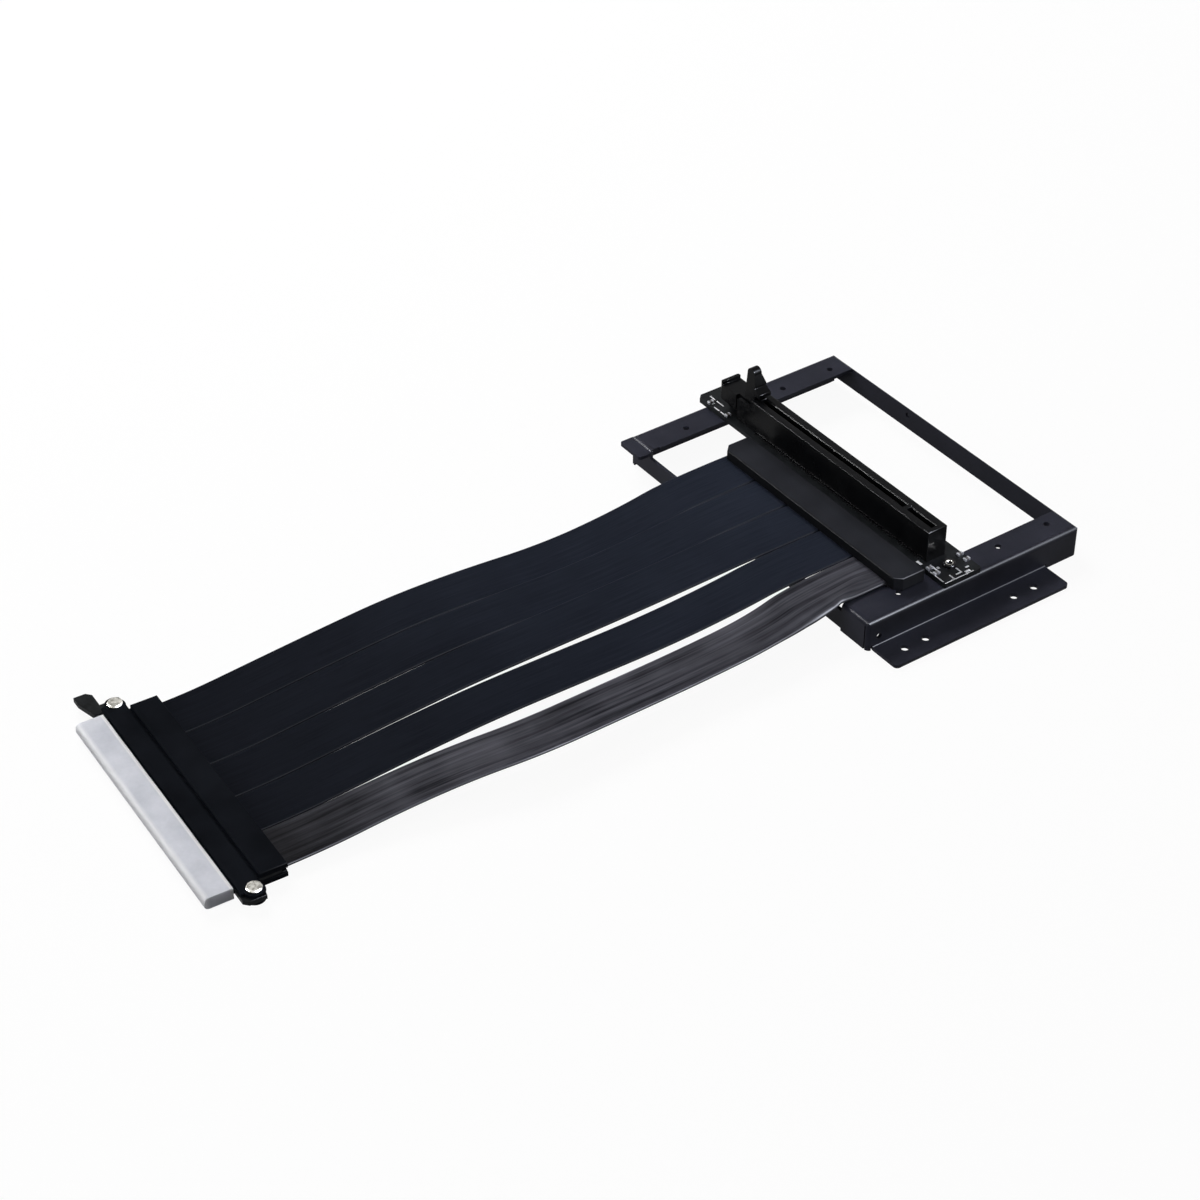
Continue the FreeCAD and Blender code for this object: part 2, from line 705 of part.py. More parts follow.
def ribbon_points(index):
    """The strip's route, from inside the plug to inside the cable cover."""
    offset = (strip_count - 1) / 2 - index
    start = plug_point(plug_shell_end - ribbon_grip, offset * strip_pitch, plug_mid)
    lane = ribbon_centre_y + offset * strip_pitch
    middle = [Vec(x, lane + drift, z) for x, drift, z
              in zip(ribbon_stations, ribbon_drifts[index], ribbon_heights[index])]
    end = Vec(ribbon_end_x, lane, ribbon_z)
    return [start] + middle + [end]


def offset_route(points, distance):
    """The flat route moved sideways, with a tangent arc at each of its corners."""
    left, mids, right = [], [], []
    radii = []
    for i in range(1, len(points) - 1):
        before, here, after = points[i - 1], points[i], points[i + 1]
        d0 = (here - before).normalize()
        d1 = (after - here).normalize()
        turn = math.atan2(d0.x * d1.y - d0.y * d1.x, d0.dot(d1))
        run = min((here - before).Length, (after - here).Length)
        reach = bend_share * run
        radius = reach / math.tan(abs(turn) / 2)
        radii.append(radius)
        side = math.copysign(1, turn)
        n0 = Vec(-d0.y, d0.x, 0)
        centre = here - d0 * reach + n0 * (side * radius)
        r = radius - side * distance
        a = here - d0 * reach + n0 * distance
        b = here + d1 * reach + Vec(-d1.y, d1.x, 0) * distance
        to_mid = (a + b) * 0.5 - centre
        left.append(a)
        mids.append(centre + to_mid.normalize() * r)
        right.append(b)
    first = (points[1] - points[0]).normalize()
    last = (points[-1] - points[-2]).normalize()
    spots = [points[0] + Vec(-first.y, first.x, 0) * distance]
    edges = []
    for a, m, b in zip(left, mids, right):
        edges.append(Part.LineSegment(spots[-1], a).toShape())
        edges.append(Part.Arc(a, m, b).toShape())
        spots.append(b)
    end = points[-1] + Vec(-last.y, last.x, 0) * distance
    edges.append(Part.LineSegment(spots[-1], end).toShape())
    return edges, spots[0], end, radii


def band(points, half):
    """A flat face of constant width along the route."""
    upper, u0, u1, radii = offset_route(points, half)
    lower, l0, l1, _ = offset_route(points, -half)
    closing = [Part.LineSegment(u0, l0).toShape(), Part.LineSegment(u1, l1).toShape()]
    wire = Part.Wire(Part.__sortEdges__(upper + lower + closing))
    return Part.Face(wire), radii


def ribbon_strip(index):
    """The strip's plan, drawn up, within the ribbons' rise and fall, drawn across."""
    points = ribbon_points(index)
    plan, side_radii = band([Vec(p.x, p.y, 0) for p in points], strip_w / 2)
    plan_solid = plan.extrude(Vec(0, 0, frame_height + 2 * plug_height))
    spare = strip_w
    route = [Vec(points[0].x - spare, points[0].z, 0)]
    route += [Vec(p.x, p.z, 0) for p in points[1:-1]]
    route += [Vec(points[-1].x + spare, points[-1].z, 0)]
    profile, rise_radii = band(route, strip_t / 2)
    profile.rotate(Vec(0, 0, 0), Vec(1, 0, 0), 90)
    y0 = min(p.y for p in points) - strip_w
    y1 = max(p.y for p in points) + strip_w
    profile.translate(Vec(0, y1, 0))
    wave = profile.extrude(Vec(0, y0 - y1, 0))
    strip = wave.common(plan_solid)
    length = sum((b - a).Length for a, b in zip(points, points[1:]))
    print("ribbon_strip_%d: length %.1f, section x length %.0f, volume %.0f, least radii %.0f and %.0f"
          % (index + 1, length, length * strip_w * strip_t, strip.Volume,
             min(side_radii), min(rise_radii)))
    return strip


def build():
    nodes = {"bracket_frame": bracket_frame(),
             "slot_board": slot_board(),
             "slot_housing": slot_housing(),
             "slot_contacts_front": slot_contacts(-1),
             "slot_contacts_rear": slot_contacts(1),
             "slot_latch": slot_latch(),
             "board_screws": board_screws(),
             "board_parts": board_parts(),
             "cable_cover_top": cable_cover_top(),
             "cable_cover_bottom": cable_cover_bottom(),
             "plug_board": plug_board(),
             "plug_fingers_top": plug_fingers(plug_pcb_z1, plug_pcb_z1 + finger_t),
             "plug_fingers_bottom": plug_fingers(plug_pcb_z0 - finger_t, plug_pcb_z0),
             "plug_shell_top": plug_shell_top(),
             "plug_shell_bottom": plug_shell_bottom(),
             "plug_rivets": plug_rivets(),
             "finger_guard": finger_guard()}
    for index in range(strip_count):
        nodes["ribbon_strip_%d" % (index + 1)] = ribbon_strip(index)
    return nodes


os.makedirs("parts", exist_ok=True)
for name, shape in build().items():
    box = shape.BoundBox
    print("%s: solids %d, valid %s, volume %.1f, x %.2f %.2f, y %.2f %.2f, z %.2f %.2f"
          % (name, len(shape.Solids), shape.isValid(), shape.Volume, box.XMin, box.XMax,
             box.YMin, box.YMax, box.ZMin, box.ZMax))
    shape.exportStep("parts/%s.step" % name)
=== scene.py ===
# A riser cable: a card-edge plug, five flat ribbons and a card slot on a folded bracket.
import math
import random

import bmesh
import bpy
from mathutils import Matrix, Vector


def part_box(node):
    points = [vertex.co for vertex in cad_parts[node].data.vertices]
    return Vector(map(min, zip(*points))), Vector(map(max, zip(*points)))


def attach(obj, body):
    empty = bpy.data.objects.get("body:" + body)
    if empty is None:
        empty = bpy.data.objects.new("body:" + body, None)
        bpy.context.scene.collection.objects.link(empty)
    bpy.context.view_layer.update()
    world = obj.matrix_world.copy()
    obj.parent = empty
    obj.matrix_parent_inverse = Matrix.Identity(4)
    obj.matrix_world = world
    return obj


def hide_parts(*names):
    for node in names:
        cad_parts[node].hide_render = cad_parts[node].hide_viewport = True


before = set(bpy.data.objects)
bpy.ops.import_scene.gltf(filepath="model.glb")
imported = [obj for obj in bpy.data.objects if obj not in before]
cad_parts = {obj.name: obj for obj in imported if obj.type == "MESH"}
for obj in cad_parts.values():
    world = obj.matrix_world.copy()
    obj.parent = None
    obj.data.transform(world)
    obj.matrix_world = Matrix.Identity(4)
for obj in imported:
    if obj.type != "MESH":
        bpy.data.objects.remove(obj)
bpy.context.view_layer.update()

bpy.ops.object.select_all(action="DESELECT")


# Camera, at the photograph's place

cameraSettings = {"position": (-0.4944, -0.4997, 0.5485), "target": (-0.08741, 0.07422, 0.0),
                  "lens": 85.9, "sensor": 36.0, "clipStart": 0.01}


def placeCamera(settings):
    bpy.ops.object.camera_add(location=settings["position"])
    camera = bpy.context.object
    camera.name = "photoCamera"
    sight = Vector(settings["target"]) - Vector(settings["position"])
    camera.rotation_euler = sight.to_track_quat("-Z", "Y").to_euler()
    camera.data.lens = settings["lens"]
    camera.data.sensor_width = settings["sensor"]
    camera.data.clip_start = settings["clipStart"]
    bpy.context.scene.camera = camera


placeCamera(cameraSettings)
print("camera placed")


# Finishes: every one is made of nodes that read the piece's own coordinates

finishDefaults = {"metallic": 0.0, "specular": 0.2, "milky": 0.0, "milkyDepth": 0.004,
                  "stretch": (1.0, 1.0, 1.0), "turn": 0.0, "grainShare": 0.35, "paintedLightBands": [],
                  "patchNoise": (3.0, 0.55), "patchSpread": (0.25, 0.75), "grainNoise": (3.0, 0.6),
                  "spread": (0.2, 0.8)}


def startFinish(name, look):
    material = bpy.data.materials.new(name)
    material.use_nodes = True
    shader = material.node_tree.nodes["Principled BSDF"]
    shader.inputs["Metallic"].default_value = look["metallic"]
    shader.inputs["Specular IOR Level"].default_value = look["specular"]
    shader.inputs["Subsurface Weight"].default_value = look["milky"]
    shader.inputs["Subsurface Radius"].default_value = (1.0, 1.0, 1.0)
    shader.inputs["Subsurface Scale"].default_value = look["milkyDepth"]
    return material, shader


def addNode(holder, kind, values=None, **properties):  # the holder is a material or the world
    node = holder.node_tree.nodes.new(kind)
    for key, value in properties.items():
        setattr(node, key, value)
    for socket, value in (values or {}).items():
        node.inputs[socket].default_value = value
    return node


def wire(holder, output, target):
    holder.node_tree.links.new(output, target)


def placeSource(material, stretch=(1.0, 1.0, 1.0), fromUv=False, turn=0.0):
    where = addNode(material, "ShaderNodeTexCoord")
    mapping = addNode(material, "ShaderNodeMapping", {"Scale": stretch, "Rotation": (0.0, 0.0, turn)})
    wire(material, where.outputs["UV" if fromUv else "Object"], mapping.inputs["Vector"])
    return mapping.outputs["Vector"]


def readAxis(material, vector, axis):
    apart = addNode(material, "ShaderNodeSeparateXYZ")
    wire(material, vector, apart.inputs["Vector"])
    return apart.outputs[axis]


def addNoise(material, vector, scale, detail, rough):
    values = {"Scale": scale, "Detail": detail, "Roughness": rough}
    noise = addNode(material, "ShaderNodeTexNoise", values)
    wire(material, vector, noise.inputs["Vector"])
    return noise.outputs["Fac"]


def addRange(material, value, low, high, fromLow=0.3, fromHigh=0.7):  # most of a noise is from 0.3 to 0.7
    values = {"From Min": fromLow, "From Max": fromHigh, "To Min": low, "To Max": high}
    spread = addNode(material, "ShaderNodeMapRange", values)
    wire(material, value, spread.inputs["Value"])
    return spread.outputs["Result"]


def addColours(material, value, dark, pale, low, high):
    ramp = addNode(material, "ShaderNodeValToRGB")
    for stop, position, colour in zip(ramp.color_ramp.elements, (low, high), (dark, pale)):
        stop.position = position
        stop.color = (*colour, 1.0)
    wire(material, value, ramp.inputs["Fac"])
    return ramp.outputs["Color"]


def addBump(material, height, strength, distance, below=None):
    bump = addNode(material, "ShaderNodeBump", {"Strength": strength, "Distance": distance})
    wire(material, height, bump.inputs["Height"])
    if below is not None:
        wire(material, below, bump.inputs["Normal"])
    return bump.outputs["Normal"]


def mixColours(material, share, first, second):  # each colour is three numbers or another node's output
    mix = addNode(material, "ShaderNodeMix", data_type="RGBA")
    wire(material, share, mix.inputs["Factor"])
    for socket, colour in (("A", first), ("B", second)):
        if isinstance(colour, tuple):
            mix.inputs[socket].default_value = (*colour, 1.0)
        else:
            wire(material, colour, mix.inputs[socket])
    return mix.outputs["Result"]


def addPaintedLightBand(material, colour, source, lightBand):  # painted light or shade: another colour beyond a line across the piece
    share = addRange(material, readAxis(material, source, "X"), 0.0, lightBand["share"], *lightBand["between"])
    return mixColours(material, share, colour, lightBand["colour"])


def blendNoises(material, main, minor, minorShare, mainSpread):
    both = addNode(material, "ShaderNodeMath", {1: minorShare}, operation="MULTIPLY_ADD")
    wire(material, minor, both.inputs[0])
    wire(material, addRange(material, main, 0.0, 1.0 - minorShare, *mainSpread), both.inputs[2])
    return both.outputs["Value"]


def mouldedFinish(name, look):  # plastic, paint and metal: patches, grain and uneven gloss, with bands of painted light or shade where a look lists them
    look = {**finishDefaults, **look}
    material, shader = startFinish(name, look)
    grainy = placeSource(material, look["stretch"], turn=look["turn"])
    patches = addNoise(material, placeSource(material), look["patchScale"], *look["patchNoise"])
    grain = addNoise(material, grainy, look["grainScale"], *look["grainNoise"])
    both = blendNoises(material, patches, grain, look["grainShare"], look["patchSpread"])
    colour = addColours(material, both, look["dark"], look["pale"], *look["spread"])
    for lightBand in look["paintedLightBands"]:
        colour = addPaintedLightBand(material, colour, grainy, lightBand)
    wire(material, colour, shader.inputs["Base Color"])
    wire(material, addRange(material, patches, *look["rough"]), shader.inputs["Roughness"])
    wire(material, addBump(material, grain, look["bump"], look["bumpDepth"]), shader.inputs["Normal"])
    return material


paintLook = {"dark": (0.020, 0.021, 0.032), "pale": (0.033, 0.034, 0.050), "patchScale": 45.0,
             "grainScale": 1900.0, "rough": (0.30, 0.38), "bump": 0.25, "bumpDepth": 0.00004,
             "specular": 0.035, "grainShare": 0.3}
boardLook = {"dark": (0.006, 0.007, 0.008), "pale": (0.016, 0.018, 0.020), "patchScale": 260.0,
             "grainScale": 1200.0, "rough": (0.28, 0.42), "bump": 0.2, "bumpDepth": 0.00003,
             "specular": 0.04}
slotLook = {"dark": (0.0035, 0.0037, 0.0045), "pale": (0.0065, 0.0067, 0.0075), "patchScale": 120.0,
            "grainScale": 2600.0, "rough": (0.20, 0.28), "bump": 0.2, "bumpDepth": 0.00002,
            "specular": 0.035}
# A band of painted light or shade starts at the first place on X and has its full share at the second.
# The cover's two bands are painted shade: on its edge beside the ribbons, and over its part toward the
# slot.
coverLook = {"dark": (0.0115, 0.0122, 0.0165), "pale": (0.0185, 0.0195, 0.0255), "patchScale": 70.0,
             "grainScale": 2300.0, "rough": (0.42, 0.55), "bump": 0.45, "bumpDepth": 0.00003,
             "specular": 0.03, "paintedLightBands": [
                 {"between": (-0.0190, -0.0193), "share": 0.85, "colour": (0.0025, 0.0028, 0.0036)},
                 {"between": (-0.0125, -0.0090), "share": 0.65, "colour": (0.004, 0.0045, 0.006)}]}
shellLook = dict(coverLook, dark=(0.0040, 0.0050, 0.0075), pale=(0.0080, 0.0095, 0.0135),
                 specular=0.005, paintedLightBands=[])
# The guard lies turned with the plug, and so do its bands: a painted highlight along its inner edge
# beside the shell, and a front made lighter with painted light.
guardLook = {"dark": (0.64, 0.66, 0.74), "pale": (0.84, 0.85, 0.95), "patchScale": 60.0,
             "grainScale": 900.0, "rough": (0.5, 0.6), "bump": 0.15, "bumpDepth": 0.00004,
             "specular": 0.08, "grainShare": 0.25, "milky": 0.6, "turn": 0.0611, "paintedLightBands": [
                 {"between": (-0.2490, -0.2486), "share": 1.0, "colour": (1.0, 1.0, 1.0)},
                 {"between": (-0.2549, -0.2560), "share": 0.9, "colour": (0.93, 0.93, 1.0)}]}
goldLook = {"dark": (0.68, 0.45, 0.17), "pale": (0.86, 0.63, 0.29), "patchScale": 500.0,
            "grainScale": 2500.0, "rough": (0.18, 0.3), "bump": 0.1, "bumpDepth": 0.00001,
            "specular": 0.5, "metallic": 1.0, "stretch": (0.15, 1.0, 1.0)}
steelLook = {"dark": (0.20, 0.195, 0.175), "pale": (0.52, 0.50, 0.45), "patchScale": 700.0,
             "grainScale": 3000.0, "rough": (0.2, 0.36), "bump": 0.15, "bumpDepth": 0.00001,
             "specular": 0.5, "metallic": 1.0, "stretch": (1.0, 0.2, 1.0)}
chipLook = {"dark": (0.030, 0.026, 0.024), "pale": (0.075, 0.066, 0.060), "patchScale": 900.0,
            "grainScale": 4000.0, "rough": (0.35, 0.5), "bump": 0.2, "bumpDepth": 0.00001,
            "specular": 0.4}
tinLook = dict(chipLook, dark=(0.42, 0.43, 0.47), pale=(0.62, 0.63, 0.68))
blackSteelLook = dict(slotLook, specular=0.1)
printLook = dict(chipLook, dark=(0.80, 0.81, 0.85), pale=(0.97, 0.98, 1.0), specular=0.2)

paintFinish = mouldedFinish("bracketPaint", paintLook)
boardFinish = mouldedFinish("boardMask", boardLook)
slotFinish = mouldedFinish("slotPlastic", slotLook)
coverFinish = mouldedFinish("coverPlastic", coverLook)
shellFinish = mouldedFinish("shellPlastic", shellLook)
guardFinish = mouldedFinish("guardPlastic", guardLook)
goldFinish = mouldedFinish("contactGold", goldLook)
steelFinish = mouldedFinish("rivetSteel", steelLook)
chipFinish = mouldedFinish("chipCeramic", chipLook)
tinFinish = mouldedFinish("solderTin", tinLook)
blackSteelFinish = mouldedFinish("blackSteel", blackSteelLook)
printFinish = mouldedFinish("boardPrint", printLook)


def ribbonFinish(name, look):  # film over flat wires: streaks run along the strip by its own UV map, and the colour is scaled along X by a painted falloff of light
    look = {**finishDefaults, **look}
    material, shader = startFinish(name, look)
    along = placeSource(material, look["streakStretch"], fromUv=True)
    slow = placeSource(material)
    streaks = addNoise(material, along, look["streakScale"], *look["streakNoise"])
    clouds = addNoise(material, slow, look["cloudScale"], *look["cloudNoise"])
    both = blendNoises(material, streaks, clouds, look["cloudShare"], look["streakSpread"])
    film = addColours(material, both, look["dark"], look["pale"], *look["spread"])
    paintedFalloff = addRange(material, readAxis(material, slow, "X"), *look["paintedFalloff"], *look["paintedFalloffFrom"])
    paintedLightFilm = addNode(material, "ShaderNodeVectorMath", operation="SCALE")
    wire(material, film, paintedLightFilm.inputs[0])
    wire(material, paintedFalloff, paintedLightFilm.inputs["Scale"])
    wire(material, paintedLightFilm.outputs[0], shader.inputs["Base Color"])
    wire(material, addRange(material, streaks, *look["rough"]), shader.inputs["Roughness"])
    creased = addBump(material, clouds, look["creaseBump"], look["creaseDepth"])
    streaked = addBump(material, streaks, look["streakBump"], look["streakDepth"], creased)
    wire(material, streaked, shader.inputs["Normal"])
    return material


# The film's colour carries a painted falloff of light: darker toward the plug and lighter toward the
# cover
ribbonLook = {"dark": (0.0105, 0.0130, 0.0210), "pale": (0.0195, 0.0235, 0.036), "streakScale": 5.0,
              "streakStretch": (7.0, 0.9, 1.0), "streakNoise": (5.0, 0.65), "streakSpread": (0.3, 0.7),
              "cloudScale": 34.0, "cloudNoise": (2.0, 0.55), "cloudShare": 0.55, "rough": (0.40, 0.55),
              "creaseBump": 0.35, "creaseDepth": 0.0004, "streakBump": 0.18, "streakDepth": 0.00012,
              "specular": 0.006, "paintedFalloff": (0.42, 1.30), "paintedFalloffFrom": (-0.24, -0.03)}
# The near strip: streaks along its film whose pale colour is a painted sheen, dimmed toward the plug by
# its painted falloff
streakSheenLook = dict(ribbonLook, dark=(0.012, 0.012, 0.017), pale=(0.150, 0.148, 0.178),
                   streakStretch=(1.9, 0.26, 1.0), cloudScale=44.0, specular=0.03, streakBump=0.5,
                   rough=(0.32, 0.5), spread=(0.30, 0.92), paintedFalloff=(0.25, 1.0), paintedFalloffFrom=(-0.225, -0.19))
ribbonSkin = ribbonFinish("ribbonFilm", ribbonLook)
streakSheenSkin = ribbonFinish("ribbonFilmStreakSheen", streakSheenLook)
print("finishes made")


# Ribbons: a band along the smooth line through each strip's route

ribbonSettings = {"width": 0.0163, "thickness": 0.0010, "wires": 13, "columnsPerWire": 4, "steps": 14,
                  "bow": 0.00018, "edgeTurns": 4, "ridgeVaries": (0.4, 1.0), "seed": 11,
                  "uvAround": 2.0, "uvPerMetre": 10.0}
# Places along X are in metres, and the strip runs from -1 to 1 across
curlSettings = {"strip": 5, "droop": 0.0015, "droopFrom": 0.45, "droopStarts": (-0.066, -0.045),
                "droopEnds": (-0.0405, -0.0364), "crease": 0.0011, "creaseStarts": (-0.050, -0.036),
                "creaseEnds": (-0.028, -0.0205), "creaseFades": 0.85, "crestMoves": (-0.044, -0.019),
                "crestTravel": 0.75, "nearWidth": 0.22, "farWidth": 0.5}
ribbonRoutes = [
    [(-0.22692, 0.09815, 0.0026), (-0.217, 0.0976, 0.0026), (-0.193, 0.09675, 0.0051),
     (-0.17, 0.09535, 0.0079), (-0.148, 0.09445, 0.0098), (-0.122, 0.0944, 0.0088),
     (-0.09, 0.0943, 0.0056), (-0.063, 0.0936, 0.0075), (-0.043, 0.0926, 0.0116),
     (-0.01784, 0.0922, 0.0116)],
    [(-0.22793, 0.08164, 0.0026), (-0.217, 0.08105, 0.0026), (-0.193, 0.08015, 0.0051),
     (-0.17, 0.0787, 0.0079), (-0.148, 0.07775, 0.0099), (-0.122, 0.0777, 0.0093),
     (-0.09, 0.07765, 0.0076), (-0.063, 0.07715, 0.009), (-0.043, 0.07605, 0.0116),
     (-0.01784, 0.07565, 0.0116)],
    [(-0.22895, 0.06512, 0.0026), (-0.217, 0.0646, 0.0026), (-0.193, 0.0634, 0.0052),
     (-0.17, 0.0619, 0.008), (-0.148, 0.061, 0.0099), (-0.122, 0.0611, 0.0097),
     (-0.09, 0.0613, 0.0093), (-0.063, 0.0607, 0.0101), (-0.043, 0.0596, 0.0116),
     (-0.01784, 0.0591, 0.0116)],
    [(-0.22996, 0.0486, 0.0026), (-0.217, 0.04805, 0.0026), (-0.193, 0.04675, 0.0052),
     (-0.17, 0.04515, 0.008), (-0.148, 0.04365, 0.0099), (-0.122, 0.04315, 0.0096),
     (-0.09, 0.04275, 0.0089), (-0.063, 0.04275, 0.0099), (-0.043, 0.04305, 0.0116),
     (-0.01784, 0.04255, 0.0116)],
    [(-0.23097, 0.03208, 0.0026), (-0.217, 0.0314, 0.0026), (-0.193, 0.0302, 0.0051),
     (-0.17, 0.0271, 0.0079), (-0.148, 0.0229, 0.0097), (-0.122, 0.0232, 0.0092),
     (-0.09, 0.024, 0.0082), (-0.063, 0.0238, 0.0094), (-0.043, 0.0264, 0.0116),
     (-0.01784, 0.026, 0.0116)]]
ribbonTraits = [  # length, ridge and skin of each strip, from the far one to the near one
    {"length": 0.2102, "ridge": 0.00002, "skin": ribbonSkin},
    {"length": 0.2109, "ridge": 0.00002, "skin": ribbonSkin},
    {"length": 0.2117, "ridge": 0.00002, "skin": ribbonSkin},
    {"length": 0.2128, "ridge": 0.00002, "skin": ribbonSkin},
    {"length": 0.2145, "ridge": 0.00007, "skin": streakSheenSkin}]


def routeLine(points, steps):
    curve = bpy.data.curves.new("routeLine", "CURVE")
    curve.dimensions = "3D"
    curve.resolution_u = steps
    spline = curve.splines.new("NURBS")
    spline.points.add(len(points) - 1)
    for control, point in zip(spline.points, points):
        control.co = (*point, 1.0)
    spline.order_u = 3
    spline.use_endpoint_u = True
    holder = bpy.data.objects.new("routeLine", curve)
    bpy.context.scene.collection.objects.link(holder)
    bpy.context.view_layer.update()
    line = bpy.data.meshes.new_from_object(holder.evaluated_get(bpy.context.evaluated_depsgraph_get()))
    places = [vertex.co.copy() for vertex in line.vertices]
    bpy.data.objects.remove(holder)
    bpy.data.meshes.remove(line)
    return places


def stripProfile(settings, ridge, seed):  # (across, height) from one edge over the top and back below
    random.seed(seed)
    half, deep = settings["width"] / 2, settings["thickness"] / 2
    flat = half - deep
    wires = settings["wires"]
    columns = wires * settings["columnsPerWire"]
    lift = [ridge * random.uniform(*settings["ridgeVaries"]) for _ in range(wires)]
    upper = []
    for column in range(columns + 1):
        share = column / columns
        wireAt = min(int(share * wires), wires - 1)
        groove = 1 - math.sin(math.pi * (share * wires - wireAt))
        upper.append((-flat + 2 * flat * share, deep - lift[wireAt] * groove))
    turns = [math.pi * turn / settings["edgeTurns"] for turn in range(1, settings["edgeTurns"])]
    right = [(flat + deep * math.sin(turn), deep * math.cos(turn)) for turn in turns]
    left = [(-across, -height) for across, height in right]
    lower = [(-across, -height) for across, height in upper]
    return upper + right + lower + left


def easeBetween(value, start, end):
    share = min(1.0, max(0.0, (value - start) / (end - start)))
    return share * share * (3 - 2 * share)


def edgeCurl(number, along, spread, curl):  # the near strip's edge droops, then creases at the frame
    if number != curl["strip"]:
        return 0.0
    droop = easeBetween(along, *curl["droopStarts"]) * (1 - easeBetween(along, *curl["droopEnds"]))
    droop *= curl["droop"] * max(0.0, (-spread - curl["droopFrom"]) / (1 - curl["droopFrom"])) ** 2
    crest = -1.0 + curl["crestTravel"] * easeBetween(along, *curl["crestMoves"])
    swell = easeBetween(along, *curl["creaseStarts"])
    swell *= 1 - curl["creaseFades"] * easeBetween(along, *curl["creaseEnds"])
    width = curl["nearWidth"] if spread < crest else curl["farWidth"]
    return swell * curl["crease"] * math.exp(-((spread - crest) / width) ** 2) - droop


def layRows(strip, number, places, profile, settings):  # the profile, set up at every place of the line
    rows = []
    for index, place in enumerate(places):
        before, after = places[max(index - 1, 0)], places[min(index + 1, len(places) - 1)]
        tangent = (after - before).normalized()
        side = Vector((0, 0, 1)).cross(tangent).normalized()
        upward = tangent.cross(side)
        bow = settings["bow"] * math.sin(math.pi * (index / (len(places) - 1)))
        row = []
        for across, height in profile:
            spread = across / (settings["width"] / 2)
            sag = bow * (0.5 - spread * spread)
            curl = edgeCurl(number, place.x, spread, curlSettings)
            row.append(strip.verts.new(place + side * across + upward * (height + sag + curl)))
        rows.append(row)
    return rows


def runLengths(places):
    lengths = [0.0]
    for before, after in zip(places, places[1:]):
        lengths.append(lengths[-1] + (after - before).length)
    return lengths


def coverRows(strip, uvMap, rows, lengths, settings):  # faces between the rows, and one at each end
    around = len(rows[0])
    for index in range(len(rows) - 1):
        for column in range(around):
            beside = (column + 1) % around
            face = strip.faces.new((rows[index][column], rows[index + 1][column],
                                    rows[index + 1][beside], rows[index][beside]))
            corners = ((column, index), (column, index + 1), (column + 1, index + 1), (column + 1, index))
            for loop, (along, station) in zip(face.loops, corners):
                loop[uvMap].uv = (along / around * settings["uvAround"],
                                  lengths[station] * settings["uvPerMetre"])
    strip.faces.new(rows[0])
    strip.faces.new(list(reversed(rows[-1])))


def makeStrip(number, points, traits, settings):
    name = "ribbonStrip%d" % number
    places = routeLine(points, settings["steps"])
    profile = stripProfile(settings, traits["ridge"], settings["seed"] + number)
    strip = bmesh.new()
    uvMap = strip.loops.layers.uv.new("UVMap")
    rows = layRows(strip, number, places, profile, settings)
    coverRows(strip, uvMap, rows, runLengths(places), settings)
    bmesh.ops.recalc_face_normals(strip, faces=strip.faces)
    mesh = bpy.data.meshes.new(name)
    strip.to_mesh(mesh)
    strip.free()
    piece = bpy.data.objects.new(name, mesh)
    bpy.context.scene.collection.objects.link(piece)
    mesh.materials.append(traits["skin"])
    for polygon in mesh.polygons:
        polygon.use_smooth = len(polygon.vertices) == 4  # the two end faces stay flat
    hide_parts("ribbon_strip_%d" % number)
    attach(piece, "riser")


for stripNumber, (route, traits) in enumerate(zip(ribbonRoutes, ribbonTraits), 1):
    makeStrip(stripNumber, route, traits, ribbonSettings)
print("ribbons laid")


# Hard pieces: each takes the solid's own form, with its edges broken as moulding and folding leave them

def pickAlone(piece):
    bpy.ops.object.select_all(action="DESELECT")
    piece.select_set(True)
    bpy.context.view_layer.objects.active = piece


def edit(piece, action, everything=True):  # on all of the mesh, or on what was picked before
    pickAlone(piece)
    bpy.ops.object.mode_set(mode="EDIT")
    if everything:
        bpy.ops.mesh.select_all(action="SELECT")
    action()
    bpy.ops.object.mode_set(mode="OBJECT")
    piece.select_set(False)


def applyModifier(piece, kind, **values):
    modifier = piece.modifiers.new(kind.lower(), kind)
    for key, value in values.items():
        setattr(modifier, key, value)
    pickAlone(piece)
    bpy.ops.object.modifier_apply(modifier=modifier.name)
    piece.select_set(False)


edgeSettings = {"merge": 0.000002, "flatWithin": 1.0, "segments": 2, "bevelFrom": 38.0, "smoothTo": 32.0}


def smoothPiece(piece):
    pickAlone(piece)
    bpy.ops.object.shade_smooth_by_angle(angle=math.radians(edgeSettings["smoothTo"]))
    piece.select_set(False)


def pickVertices(piece, chosen):
    for item in (*piece.data.polygons, *piece.data.edges):
        item.select = False
    for vertex in piece.data.vertices:
        vertex.select = chosen(vertex.co)


bracketSettings = {"footHoles": [(x, 0.0) for x in (-0.0263, -0.018, 0.018, 0.0263)],
                   "plateHoles": [(x, y) for x in (-0.01866, 0.02198, 0.0423) for y in (0.0131, 0.1219)],
                   "reach": 0.0019, "footShare": 0.78, "plateShare": 0.74}


def shapeBracket(piece):  # the screw holes as narrow as the photograph shows them
    bpy.context.tool_settings.mesh_select_mode = (True, False, False)
    for group in ("foot", "plate"):
        share = bracketSettings[group + "Share"]
        for x, y in bracketSettings[group + "Holes"]:
            pickVertices(piece, lambda at: math.hypot(at.x - x, at.y - y) < bracketSettings["reach"])
            edit(piece, lambda: bpy.ops.transform.resize(value=(share, share, 1.0),
                                                         center_override=(x, y, 0.0)), False)


latchSettings = {"middle": 0.0005, "knobFrom": 0.0296, "knobShare": 0.62,
                 "blockBehind": 0.1125, "blockFrom": 0.0203, "blockRise": 0.0012}


